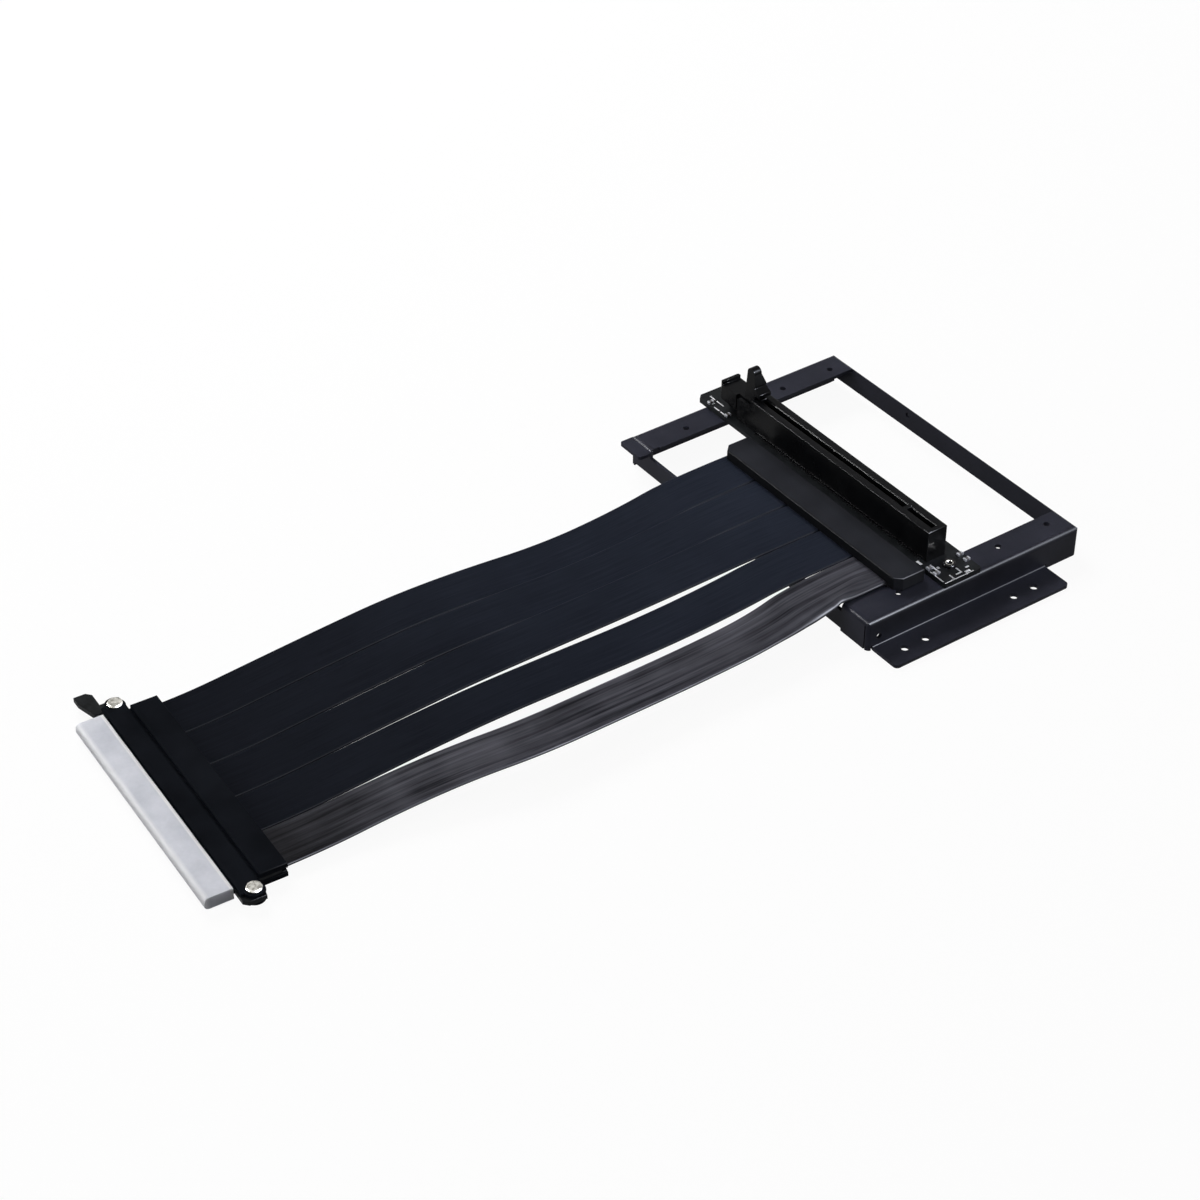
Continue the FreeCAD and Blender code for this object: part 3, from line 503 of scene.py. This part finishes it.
def shapeLatch(piece):  # the knob narrows upwards, and the block behind it stands a little higher
    bpy.context.tool_settings.mesh_select_mode = (True, False, False)
    narrow, middle = (latchSettings["knobShare"], 1.0, 1.0), (latchSettings["middle"], 0.0, 0.0)
    pickVertices(piece, lambda at: at.z > latchSettings["knobFrom"])
    edit(piece, lambda: bpy.ops.transform.resize(value=narrow, center_override=middle), False)
    pickVertices(piece, lambda at: latchSettings["blockFrom"] < at.z < latchSettings["knobFrom"]
                 and at.y > latchSettings["blockBehind"])
    edit(piece, lambda: bpy.ops.transform.translate(value=(0.0, 0.0, latchSettings["blockRise"])), False)


shapedFurther = {"bracket_frame": shapeBracket, "slot_latch": shapeLatch}


def mergeFlats():
    bpy.ops.mesh.remove_doubles(threshold=edgeSettings["merge"])
    bpy.ops.mesh.dissolve_limited(angle_limit=math.radians(edgeSettings["flatWithin"]))


def brokenEdges(node, name, body, slotName, finish, edge):
    piece = bpy.data.objects.new(name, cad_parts[node].data.copy())
    bpy.context.scene.collection.objects.link(piece)
    piece.data.materials.clear()
    piece.data.materials.append(finish)
    edit(piece, mergeFlats)
    if node in shapedFurther:
        shapedFurther[node](piece)
    applyModifier(piece, "BEVEL", width=edge, segments=edgeSettings["segments"], limit_method="ANGLE",
                  angle_limit=math.radians(edgeSettings["bevelFrom"]), use_clamp_overlap=True,
                  miter_outer="MITER_ARC")
    smoothPiece(piece)
    applyModifier(piece, "WEIGHTED_NORMAL", keep_sharp=True)  # flat faces stay flat beside round edges
    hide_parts(node)
    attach(piece, body)
    return piece


hardPieces = [  # node, piece, body, slot, finish, broken edge in metres
    ("bracket_frame", "bracketFrame", "riser", "bracket_paint", paintFinish, 0.00012),
    ("slot_housing", "slotHousing", "riser", "slot_plastic", slotFinish, 0.00028),
    ("slot_latch", "slotLatch", "latch", "slot_plastic", slotFinish, 0.00014),
    ("slot_board", "slotBoard", "riser", "board", boardFinish, 0.00008),
    ("plug_board", "plugBoard", "riser", "board", boardFinish, 0.00008),
    ("cable_cover_top", "cableCoverTop", "riser", "cover_plastic", coverFinish, 0.00025),
    ("cable_cover_bottom", "cableCoverBottom", "riser", "cover_plastic", coverFinish, 0.00025),
    ("plug_shell_top", "plugShellTop", "riser", "cover_plastic", shellFinish, 0.00020),
    ("plug_shell_bottom", "plugShellBottom", "riser", "cover_plastic", shellFinish, 0.00020),
    ("plug_rivets", "plugRivets", "riser", "steel", steelFinish, 0.00045),
    ("finger_guard", "fingerGuard", "guard", "guard", guardFinish, 0.00022)]
for hardPiece in hardPieces:
    madePiece = brokenEdges(*hardPiece)
    print(madePiece.name, "has", len(madePiece.data.polygons), "faces")
print("hard pieces made")


# Small pieces on the boards: the chips, the screws and the printed marks, each kind joined to one piece

def settle(piece, finish):  # its place goes into its mesh
    bpy.ops.object.transform_apply(location=True, rotation=True, scale=True)
    piece.data.materials.clear()
    piece.data.materials.append(finish)
    return piece


def addBox(low, high, finish):
    middle = [(a + b) / 2 for a, b in zip(low, high)]
    bpy.ops.mesh.primitive_cube_add(size=1.0, location=middle)
    bpy.context.object.scale = [b - a for a, b in zip(low, high)]
    return settle(bpy.context.object, finish)


def addDisc(centre, radius, bottom, top, finish, sides):
    place = (centre[0], centre[1], (bottom + top) / 2)
    bpy.ops.mesh.primitive_cylinder_add(vertices=sides, radius=radius, depth=top - bottom,
                                        location=place)
    return settle(bpy.context.object, finish)


def joinAs(pieces, name):
    bpy.ops.object.select_all(action="DESELECT")
    for piece in pieces:
        piece.select_set(True)
    bpy.context.view_layer.objects.active = pieces[0]
    bpy.ops.object.join()
    whole = bpy.context.object
    whole.name = name
    whole.select_set(False)
    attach(whole, "riser")
    return whole


def islandBoxes(node):  # low and high corner of each loose part of a node's mesh
    solid = bmesh.new()
    solid.from_mesh(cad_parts[node].data)
    bmesh.ops.remove_doubles(solid, verts=solid.verts, dist=edgeSettings["merge"])
    waiting, boxes = set(solid.verts), []
    while waiting:
        group, front = [], [waiting.pop()]
        while front:
            vertex = front.pop()
            group.append(vertex.co.copy())
            beside = {link.other_vert(vertex) for link in vertex.link_edges} & waiting
            waiting -= beside
            front.extend(beside)
        boxes.append([[end(place[axis] for place in group) for axis in range(3)] for end in (min, max)])
    solid.free()
    return sorted(boxes, key=lambda box: (box[0][1], box[0][0]))


chipSettings = {"capShare": 0.26, "capProud": 0.00003, "bodyLow": 0.00004, "edge": 0.00006,
                "segments": 2}


def makeChips(settings):  # each is a ceramic body with a tinned cap at both ends
    parts = []
    proud = settings["capProud"]
    for low, high in islandBoxes("board_parts"):
        axis = 0 if high[0] - low[0] > high[1] - low[1] else 1
        cap = settings["capShare"] * (high[axis] - low[axis])
        parts.append(addBox(low, [high[0], high[1], high[2] - settings["bodyLow"]], chipFinish))
        for start in (low[axis], high[axis] - cap):
            capLow = [low[0] - proud, low[1] - proud, low[2]]
            capHigh = [high[0] + proud, high[1] + proud, high[2]]
            capLow[axis], capHigh[axis] = start - proud, start + cap + proud
            parts.append(addBox(capLow, capHigh, tinFinish))
    chips = joinAs(parts, "boardChips")
    applyModifier(chips, "BEVEL", width=settings["edge"], segments=settings["segments"],
                  limit_method="ANGLE")
    smoothPiece(chips)
    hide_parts("board_parts")


screwSettings = {"headRise": 0.0011, "headSides": 48, "rim": 0.00085, "ring": 0.00034, "recess": 0.0006,
                 "shank": 0.0013, "shankSides": 32, "shankInHead": 0.0001, "edge": 0.00022, "segments": 3,
                 "bevelFrom": 60.0, "level": 0.00001, "upright": 0.9, "bareMiddle": 0.0003}


def pickTop(piece, level):  # only the flat face at the top
    top = max(vertex.co.z for vertex in piece.data.vertices)
    for item in (*piece.data.edges, *piece.data.vertices):
        item.select = False
    for polygon in piece.data.polygons:
        polygon.select = polygon.center.z > top - level


def cutRecess(settings):
    bpy.ops.mesh.inset(thickness=settings["rim"])
    bpy.ops.mesh.inset(thickness=settings["ring"])
    bpy.ops.mesh.extrude_region()
    bpy.ops.transform.translate(value=(0, 0, -settings["recess"]))


def paintRing(head, centre, top, ringRadius, settings):  # the bright ring round the recess
    places = [vertex.co for vertex in head.data.vertices]
    for polygon in head.data.polygons:
        away = [math.hypot(places[i].x - centre[0], places[i].y - centre[1]) for i in polygon.vertices]
        flatTop = polygon.normal.z > settings["upright"] and polygon.center.z > top - settings["level"]
        inRing = max(away) < ringRadius + settings["level"] and min(away) > settings["bareMiddle"]
        polygon.material_index = 1 if flatTop and inRing else 0


def makeScrew(low, high, settings):
    centre = ((low[0] + high[0]) / 2, (low[1] + high[1]) / 2)
    radius = (high[0] - low[0]) / 2
    seat = high[2] - settings["headRise"]
    head = addDisc(centre, radius, seat, high[2], blackSteelFinish, settings["headSides"])
    head.data.materials.append(steelFinish)
    bpy.context.tool_settings.mesh_select_mode = (False, False, True)
    pickTop(head, settings["level"])
    edit(head, lambda: cutRecess(settings), False)
    paintRing(head, centre, high[2], radius - settings["rim"], settings)
    applyModifier(head, "BEVEL", width=settings["edge"], segments=settings["segments"],
                  limit_method="ANGLE", angle_limit=math.radians(settings["bevelFrom"]),
                  use_clamp_overlap=True)
    shank = addDisc(centre, settings["shank"], low[2], seat + settings["shankInHead"], steelFinish,
                    settings["shankSides"])
    return [head, shank]


def makeScrews(settings):
    parts = []
    for low, high in islandBoxes("board_screws"):
        parts += makeScrew(low, high, settings)
    screws = joinAs(parts, "boardScrews")
    smoothPiece(screws)
    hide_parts("board_screws")


# Marks printed on the slot board, from its near left corner, and again from its far left corner
printSettings = {"rise": 0.00003, "boardWidth": 0.015, "nearMarks": [
    (0.0003, 0.0014, 0.0006, 0.0076), (0.0004, 0.0003, 0.0118, 0.0006),
    (0.0024, 0.0056, 0.0030, 0.0092), (0.0061, 0.0018, 0.0084, 0.0023),
    (0.0080, 0.0018, 0.0085, 0.0046), (0.0092, 0.0008, 0.0112, 0.0018),
    (0.0011, 0.0085, 0.0020, 0.0097), (0.0034, 0.0073, 0.0042, 0.0083),
    (0.0002, 0.0120, 0.0011, 0.0142), (0.0108, 0.0028, 0.0122, 0.0034),
    (0.0040, 0.0008, 0.0045, 0.0030)], "farMarks": [
    (0.0006, -0.0158, 0.0010, -0.0120), (0.0006, -0.0113, 0.0010, -0.0086),
    (0.0034, -0.0100, 0.0038, -0.0062), (0.0034, -0.0055, 0.0038, -0.0027),
    (0.0012, -0.0070, 0.0023, -0.0058)]}


def printMarks(settings):
    low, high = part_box("slot_board")
    left = high[0] - settings["boardWidth"]
    strokes = [(mark, low[1]) for mark in settings["nearMarks"]]
    strokes += [(mark, high[1]) for mark in settings["farMarks"]]
    parts = [addBox((left + mark[0], start + mark[1], high[2] - settings["rise"]),
                    (left + mark[2], start + mark[3], high[2] + settings["rise"]), printFinish)
             for mark, start in strokes]
    joinAs(parts, "boardPrint")


makeChips(chipSettings)
makeScrews(screwSettings)
printMarks(printSettings)
print("small pieces made")


# Nodes that keep their own shape, in a better finish

def contactMetal(name, metal, foot):  # spring metal above, tinned feet at the board
    material = metal.copy()
    material.name = name
    shader = material.node_tree.nodes["Principled BSDF"]
    above = shader.inputs["Base Color"].links[0].from_socket
    height = readAxis(material, placeSource(material), "Z")
    share = addRange(material, height, 0.0, 1.0, *foot["between"])
    wire(material, mixColours(material, share, foot["colour"], above), shader.inputs["Base Color"])
    return material


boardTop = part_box("slot_board")[1][2]
footLook = {"colour": (0.05, 0.05, 0.052), "between": (boardTop + 0.0004, boardTop + 0.0008)}
contactFinish = contactMetal("slotContact", goldFinish, footLook)
keptNodes = {"slot_contacts_front": contactFinish, "slot_contacts_rear": contactFinish,
             "plug_fingers_top": goldFinish, "plug_fingers_bottom": goldFinish}
for keptNode, keptFinish in keptNodes.items():
    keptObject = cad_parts[keptNode]
    keptObject.data.materials.clear()
    keptObject.data.materials.append(keptFinish)
print("contacts and fingers finished")


# Studio: a pale floor, soft lamps

lampSettings = {
    "keySoftbox": {"azimuth": 84.0, "elevation": 44.0, "distance": 1.2, "size": (0.7, 0.5),
                   "power": 11.0},
    "topSoftbox": {"azimuth": -125.0, "elevation": 84.0, "distance": 1.1, "size": (0.6, 0.6),
                   "power": 1.2},
    "bendStrip": {"azimuth": -66.0, "elevation": 40.0, "distance": 1.0, "size": (0.30, 0.10),
                  "power": 300.0, "glossOnly": True, "colour": (0.84, 0.88, 1.0)},
    "sideStrip": {"azimuth": 134.0, "elevation": 27.0, "distance": 1.0, "size": (0.5, 0.08),
                  "power": 34.0, "glossOnly": True},
    "leftFill": {"azimuth": 176.0, "elevation": 20.0, "distance": 1.0, "size": (0.6, 0.4),
                 "power": 2.6}}
stageSettings = {"floorZ": -0.0003, "floorSize": 14.0, "floorGrey": 0.22, "shadowShare": 0.06,
                 "ambient": 0.10, "ambientTint": (0.94, 0.97, 1.0, 1.0), "white": (1.0, 1.0, 1.0, 1.0)}


def addLamp(name, lamp):
    turn, rise = math.radians(lamp["azimuth"]), math.radians(lamp["elevation"])
    towards = Vector((math.cos(rise) * math.cos(turn), math.cos(rise) * math.sin(turn), math.sin(rise)))
    place = Vector(cameraSettings["target"]) + towards * lamp["distance"]
    bpy.ops.object.light_add(type="AREA", location=place)
    light = bpy.context.object
    light.name = name
    light.rotation_euler = (-towards).to_track_quat("-Z", "Y").to_euler()
    light.data.shape = "RECTANGLE"
    light.data.size, light.data.size_y = lamp["size"]
    light.data.energy = lamp["power"]
    light.data.color = lamp.get("colour", (1.0, 1.0, 1.0))
    light.visible_diffuse = not lamp.get("glossOnly", False)
    light.visible_glossy = lamp.get("glossOnly", False)


def mixShaders(holder, first, second, share):  # the share is a number or another node's output
    mix = addNode(holder, "ShaderNodeMixShader")
    if isinstance(share, float):
        mix.inputs["Fac"].default_value = share
    else:
        wire(holder, share, mix.inputs["Fac"])
    wire(holder, first, mix.inputs[1])
    wire(holder, second, mix.inputs[2])
    return mix.outputs[0]


def seenDirectly(holder):  # 1 for camera, glossy and transmitted rays
    path = addNode(holder, "ShaderNodeLightPath")
    either = path.outputs["Is Camera Ray"]
    for ray in ("Is Glossy Ray", "Is Transmission Ray"):
        larger = addNode(holder, "ShaderNodeMath", operation="MAXIMUM")
        wire(holder, either, larger.inputs[0])
        wire(holder, path.outputs[ray], larger.inputs[1])
        either = larger.outputs[0]
    return either


def makeWorld(settings):  # white where it is seen, and a faint even light on the object
    world = bpy.data.worlds.new("studioWorld")
    bpy.context.scene.world = world
    world.use_nodes = True
    nodes = world.node_tree.nodes
    ambient = nodes["Background"]
    ambient.inputs["Color"].default_value = settings["ambientTint"]
    ambient.inputs["Strength"].default_value = settings["ambient"]
    white = addNode(world, "ShaderNodeBackground", {"Color": settings["white"]})
    sky = mixShaders(world, ambient.outputs[0], white.outputs[0], seenDirectly(world))
    wire(world, sky, nodes["World Output"].inputs["Surface"])


def makeFloor(settings):  # white with a faint shadow where it is seen, and grey paper to other light
    bpy.ops.mesh.primitive_plane_add(size=settings["floorSize"], location=(0, 0, settings["floorZ"]))
    floor = bpy.context.object
    floor.name = "studioFloor"
    material = bpy.data.materials.new("floorPaper")
    material.use_nodes = True
    nodes = material.node_tree.nodes
    nodes.remove(nodes["Principled BSDF"])
    grey = settings["floorGrey"]
    paper = addNode(material, "ShaderNodeBsdfDiffuse", {"Color": (grey, grey, grey, 1.0)})
    shadowed = addNode(material, "ShaderNodeBsdfDiffuse", {"Color": settings["white"]})
    glow = addNode(material, "ShaderNodeEmission", {"Strength": 1.0})
    seen = mixShaders(material, glow.outputs[0], shadowed.outputs[0], settings["shadowShare"])
    whole = mixShaders(material, paper.outputs[0], seen, seenDirectly(material))
    wire(material, whole, nodes["Material Output"].inputs["Surface"])
    floor.data.materials.append(material)


for lampName, lampValues in lampSettings.items():
    addLamp(lampName, lampValues)
makeWorld(stageSettings)
makeFloor(stageSettings)
bpy.context.scene.view_settings.view_transform = "Standard"
print("studio set")
